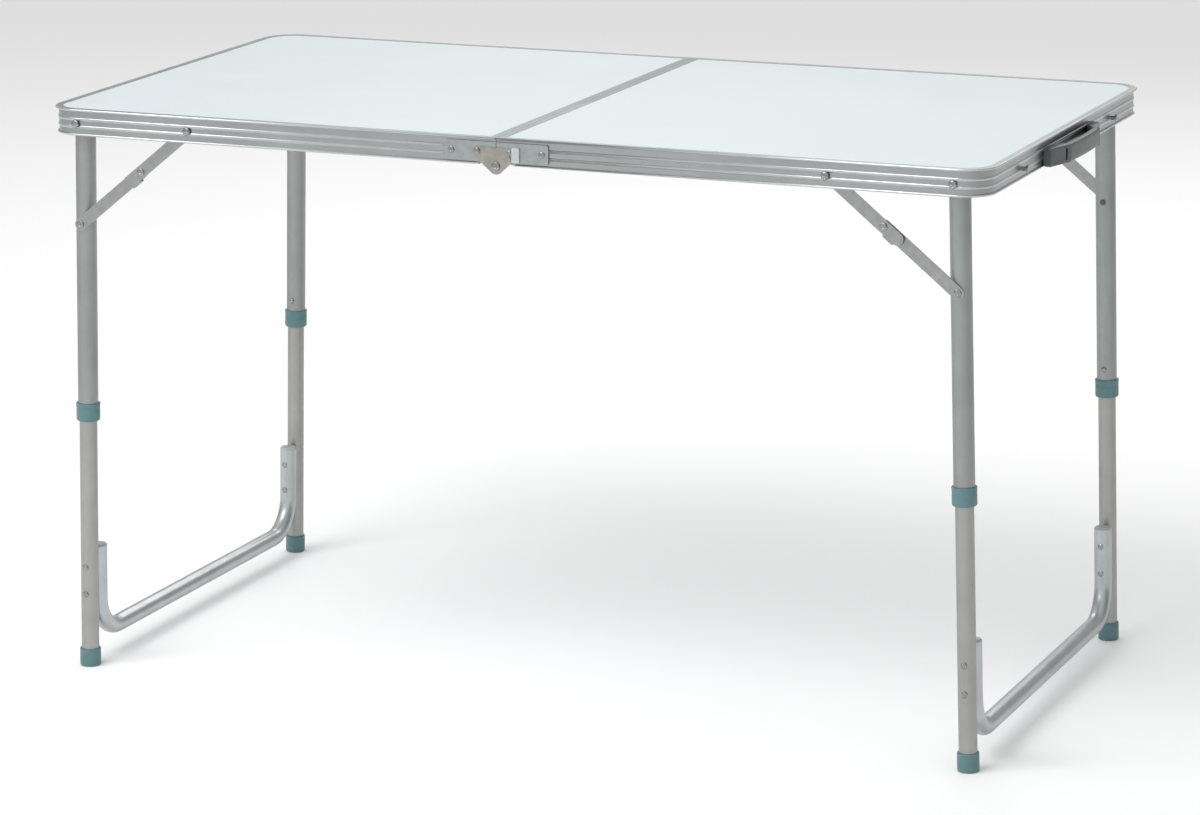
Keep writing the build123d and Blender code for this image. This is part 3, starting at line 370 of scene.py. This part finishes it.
def add_head(bm, place, outward, radius, height, recess):
    """Add a crowned fastener head, with a cross recess or a shallow dimple pressed in its middle."""
    turn = Vector((0, 0, 1)).rotation_difference(outward).to_matrix()
    ring_count, segments = 22, 64

    def top(distance, angle):
        crown = height * (0.45 + 0.55 * math.sqrt(max(0.0, 1 - (distance / radius) ** 2.4)))
        across, along = sorted((abs(distance * math.cos(angle)), abs(distance * math.sin(angle))))
        if recess == "cross":
            inside = min((radius * 0.15 - across) / (radius * 0.06),
                         (radius * 0.58 - along) / (radius * 0.12), 1.0)
        else:
            inside = min((radius * 0.40 - distance) / (radius * 0.10), 1.0)
        return crown - RECESS_DEPTH * max(0.0, inside)

    def vertex(distance, angle, rise):
        spot = Vector((distance * math.cos(angle), distance * math.sin(angle), rise))
        return bm.verts.new(place + turn @ spot)

    middle = vertex(0, 0, top(0, 0))
    angles = [2 * math.pi * step / segments for step in range(segments)]
    distances = [radius * step / ring_count for step in range(1, ring_count + 1)]
    rings = [[vertex(distance, angle, top(distance, angle)) for angle in angles] for distance in distances]
    rings.append([vertex(radius, angle, 0) for angle in angles])
    for step in range(segments):
        after = (step + 1) % segments
        bm.faces.new((middle, rings[0][step], rings[0][after]))
        for low, high in zip(rings, rings[1:]):
            bm.faces.new((low[step], high[step], high[after], low[after]))
    bm.faces.new(rings[-1])


def dress_heads(name, body, cad_height, recess):
    """Lay a detailed head over each fastener head of a node that faces the front or the back."""
    bm = bmesh.new()
    boxes = loose_boxes(name)
    reach = max(max(-low.y, high.y) for low, high in boxes)
    for low, high in boxes:
        if max(-low.y, high.y) < reach - 0.004:
            continue
        side = 1 if low.y + high.y > 0 else -1
        face = high.y if side > 0 else low.y
        place = Vector(((low.x + high.x) / 2, face - side * cad_height, (low.z + high.z) / 2))
        add_head(bm, place, Vector((0, side, 0)), (high.x - low.x) / 2 + 0.0002, cad_height + 0.0006, recess)
    add_piece(name + "_heads", bm, PLATING, body)


def leg_axes(half):
    """Foot-level point and upward direction of each leg of a half, from its pivot bolts."""
    splay = Vector((-HALVES[half] * math.sin(LEG_SPLAY), 0, math.cos(LEG_SPLAY)))
    bolts_low, bolts_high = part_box(f"{half}_leg_pivot_bolts")
    pivot_x, pivot_z = (bolts_low[0] + bolts_high[0]) / 2, (bolts_low[2] + bolts_high[2]) / 2
    feet = sorted(loose_boxes(f"{half}_feet"), key=lambda box: box[0].y)
    for low, high in feet:
        y = (low.y + high.y) / 2
        yield Vector((pivot_x, y, pivot_z)) - splay * (pivot_z / splay.z), splay


def dress_legs(half):
    """Moulded feet with a tread, and collars with a flared rim and a parting groove."""
    foot_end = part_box(f"{half}_feet")[1][2]
    collar_low, collar_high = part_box(f"{half}_collars")
    feet, collars = bmesh.new(), bmesh.new()
    start, end = collar_low[2] / math.cos(LEG_SPLAY), collar_high[2] / math.cos(LEG_SPLAY)
    height = end - start
    for place, splay in leg_axes(half):
        add_turned(feet, [
            (0.0, 0.0012), (0.0075, 0.0012), (0.0083, 0.0004), (0.0122, 0.0004), (0.0129, 0.0012),
            (0.0130, 0.0036), (0.0127, 0.0039), (0.0127, 0.0045), (0.0130, 0.0048),
            (0.0130, foot_end - 0.0016), (0.0124, foot_end - 0.0006), (0.0112, foot_end - 0.0006),
            (0.0112, 0.0052), (0.0, 0.0052),
        ], place, splay)
        add_turned(collars, [
            (0.0113, start + 0.0006), (0.0128, start + 0.0005), (0.0142, start + 0.0014),
            (0.0147, start + 0.0030), (0.0147, start + height * 0.62), (0.0144, start + height * 0.64),
            (0.0144, start + height * 0.68), (0.0147, start + height * 0.70), (0.0147, end - 0.0032),
            (0.0151, end - 0.0018), (0.0147, end - 0.0006), (0.0126, end - 0.0006),
            (0.0126, start + 0.0042), (0.0113, start + 0.0042),
        ], place, splay)
    for node, moulding, body in (("feet", feet, "foot_frame"), ("collars", collars, "leg_frame")):
        piece = add_piece(f"{half}_moulded_{node}", moulding, TEAL, f"{half}_{body}", 0.0003)
        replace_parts(piece, f"{half}_{node}")


def dress_grip():
    """Bowed grip of rounded section with finger notches along its inner side."""
    low, high = (Vector(corner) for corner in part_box("handle_grip"))
    middle_z, half_height = (low.z + high.z) / 2, (high.z - low.z) / 2
    shoulder, thickness = 0.0105, 0.0095
    notch_depth, notch_pitch, notch_fade = 0.0011, 0.0145, 0.012
    span = high.y - shoulder
    bow = high.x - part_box("handle_blocks")[1][0]
    around, along = 40, 120
    bm = bmesh.new()
    rings = []
    for step in range(along + 1):
        y = span * (2 * step / along - 1)
        outer = high.x - bow * (y / span) ** 2
        wave = 0.5 - 0.5 * math.cos(2 * math.pi * y / notch_pitch)
        notch = notch_depth * wave * min(1.0, (span - abs(y)) / notch_fade)
        ring = []
        for turn in range(around):
            angle = 2 * math.pi * turn / around
            across = math.copysign(abs(math.cos(angle)) ** 0.45, math.cos(angle))
            upward = math.copysign(abs(math.sin(angle)) ** 0.30, math.sin(angle))
            inner = max(0.0, -across) * notch
            ring.append(bm.verts.new((outer - thickness / 2 + across * thickness / 2 + inner - 0.0001, y,
                                      middle_z + upward * (half_height - 0.0002))))
        rings.append(ring)
    add_loft(bm, rings)
    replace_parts(add_piece("notched_grip", bm, GREY_PLASTIC, "right_table"), "handle_grip")


def add_rim_bead(bm, half, inset, depth, reach_out, reach_up, start):
    """Add a smooth rounded bead along a half's rim, from one end of its seam round to the other."""
    low, high = (Vector(corner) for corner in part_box(f"{half}_outer_rail"))
    away = HALVES[half]
    seam, end = (low.x, high.x) if away > 0 else (high.x, low.x)
    side, radius = high.y - inset, RIM_CORNER - inset
    corner_x, corner_y = end - away * RIM_CORNER, high.y - RIM_CORNER
    path = [(seam + away * start, -side, 0.0, -1.0)]
    corner_steps, around = 28, 20
    for step in range(corner_steps + 1):
        angle = math.pi / 2 * step / corner_steps
        out_x, out_y = away * math.sin(angle), -math.cos(angle)
        path.append((corner_x + radius * out_x, -corner_y + radius * out_y, out_x, out_y))
    path += [(x, -y, out_x, -out_y) for x, y, out_x, out_y in reversed(path)]
    rings = []
    for x, y, out_x, out_y in path:
        ring = []
        for step in range(around):
            angle = 2 * math.pi * step / around
            out, up = reach_out * math.cos(angle), reach_up * math.sin(angle)
            ring.append(bm.verts.new((x + out_x * out, y + out_y * out, high.z - depth + up)))
        rings.append(ring)
    add_loft(bm, rings)


def dress_rim(half):
    """Rolled edges of the lips and the two rounded ridges of the extrusion, in a lighter aluminium that
    paints a highlight on them.
    """
    bm = bmesh.new()
    for bead in RIM_BEADS:
        add_rim_bead(bm, half, *bead)
    add_piece(f"{half}_rim_beads", bm, HIGHLIGHT_BEAD_METAL, f"{half}_table")


for half in HALVES:
    dress_rim(half)
    dress_heads(f"{half}_leg_pivot_bolts", f"{half}_table", SCREW_HEAD, "cross")
    dress_heads(f"{half}_brace_bolts", f"{half}_table", SCREW_HEAD, "cross")
    dress_heads(f"{half}_hinge_rivets", f"{half}_table", RIVET_HEAD, "dimple")
    dress_heads(f"{half}_crossbar_rivets", f"{half}_foot_frame", RIVET_HEAD, "dimple")
    dress_heads(f"{half}_link_rivets", f"{half}_lower_brace", SMALL_HEAD, "dimple")
    dress_legs(half)
dress_heads("hinge_studs", "right_table", SMALL_HEAD, "dimple")
dress_heads("hinge_pins", "left_table", SMALL_HEAD, "dimple")
dress_grip()


# ================================ studio ================================

def add_floor():
    mesh = bpy.data.meshes.new("floor")
    reach = 12.0
    corners = [(-reach, -reach, 0), (reach, -reach, 0), (reach, reach, 0), (-reach, reach, 0)]
    mesh.from_pydata(corners, [], [(0, 1, 2, 3)])
    floor = bpy.data.objects.new("floor", mesh)
    bpy.context.collection.objects.link(floor)
    material = bpy.data.materials.new("floor")
    material.use_nodes = True
    surface = material.node_tree.nodes["Principled BSDF"]
    surface.inputs["Base Color"].default_value = FLOOR_COLOUR
    surface.inputs["Roughness"].default_value = 0.9
    surface.inputs["Specular IOR Level"].default_value = 0.1
    mesh.materials.append(material)


def add_area(name, place, target, size, power):
    light = bpy.data.lights.new(name, "AREA")
    light.shape = "RECTANGLE"
    light.size, light.size_y = size
    light.energy = power
    thing = bpy.data.objects.new(name, light)
    thing.location = place
    thing.rotation_euler = (Vector(target) - Vector(place)).to_track_quat("-Z", "Y").to_euler()
    bpy.context.collection.objects.link(thing)


def add_world():
    """Pale studio walls: bright in front, duller behind the table and at both sides."""
    world = bpy.data.worlds.new("studio")
    world.use_nodes = True
    nodes, links = world.node_tree.nodes, world.node_tree.links
    background = nodes["Background"]
    background.inputs["Strength"].default_value = WORLD_STRENGTH
    direction = nodes.new("ShaderNodeTexCoord")
    parts = nodes.new("ShaderNodeSeparateXYZ")
    links.new(direction.outputs["Generated"], parts.inputs["Vector"])
    layers = []
    for axis, stops in (("X", ((0.0, 0.35), (0.10, 0.85), (0.45, 1.0), (0.78, 0.80), (0.97, 0.30))),
                        ("Y", ((0.0, 1.0), (0.55, 0.95), (0.95, 0.55)))):
        share = nodes.new("ShaderNodeMapRange")
        share.inputs["From Min"].default_value = -1.0
        links.new(parts.outputs[axis], share.inputs["Value"])
        ramp = nodes.new("ShaderNodeValToRGB")
        while len(ramp.color_ramp.elements) < len(stops):
            ramp.color_ramp.elements.new(0.5)
        for element, (position, level) in zip(ramp.color_ramp.elements, stops):
            element.position = position
            element.color = (level, level, level, 1)
        links.new(share.outputs["Result"], ramp.inputs["Fac"])
        layers.append(ramp.outputs["Color"])
    product = nodes.new("ShaderNodeMix")
    product.data_type = "RGBA"
    product.blend_type = "MULTIPLY"
    product.inputs["Factor"].default_value = 1.0
    links.new(layers[0], product.inputs[6])
    links.new(layers[1], product.inputs[7])
    links.new(product.outputs[2], background.inputs["Color"])
    bpy.context.scene.world = world
    bpy.context.scene.view_settings.view_transform = "Standard"


def add_camera():
    azimuth, elevation = math.radians(CAMERA_AZIMUTH), math.radians(CAMERA_ELEVATION)
    roll = math.radians(CAMERA_ROLL)
    forward = Vector((-math.sin(azimuth) * math.cos(elevation), math.cos(azimuth) * math.cos(elevation),
                      -math.sin(elevation)))
    level = forward.cross(Vector((0, 0, 1))).normalized()
    upright = level.cross(forward)
    right = math.cos(roll) * level + math.sin(roll) * upright
    up = math.cos(roll) * upright - math.sin(roll) * level
    camera = bpy.data.cameras.new("camera")
    camera.lens = CAMERA_LENS
    camera.sensor_width = 36.0
    camera.clip_end = 100
    thing = bpy.data.objects.new("camera", camera)
    turn = Matrix((right, up, -forward)).transposed().to_4x4()
    thing.matrix_world = Matrix.Translation(CAMERA_PLACE) @ turn
    bpy.context.collection.objects.link(thing)
    bpy.context.scene.camera = thing


add_world()
add_floor()
add_area("key", (-1.2, -2.2, 3.4), (0, 0, 0.5), (2.6, 1.8), 72)
add_area("back", (-0.5, 3.2, 2.6), (0, 0, 0.5), (3.0, 1.2), 30)
add_camera()
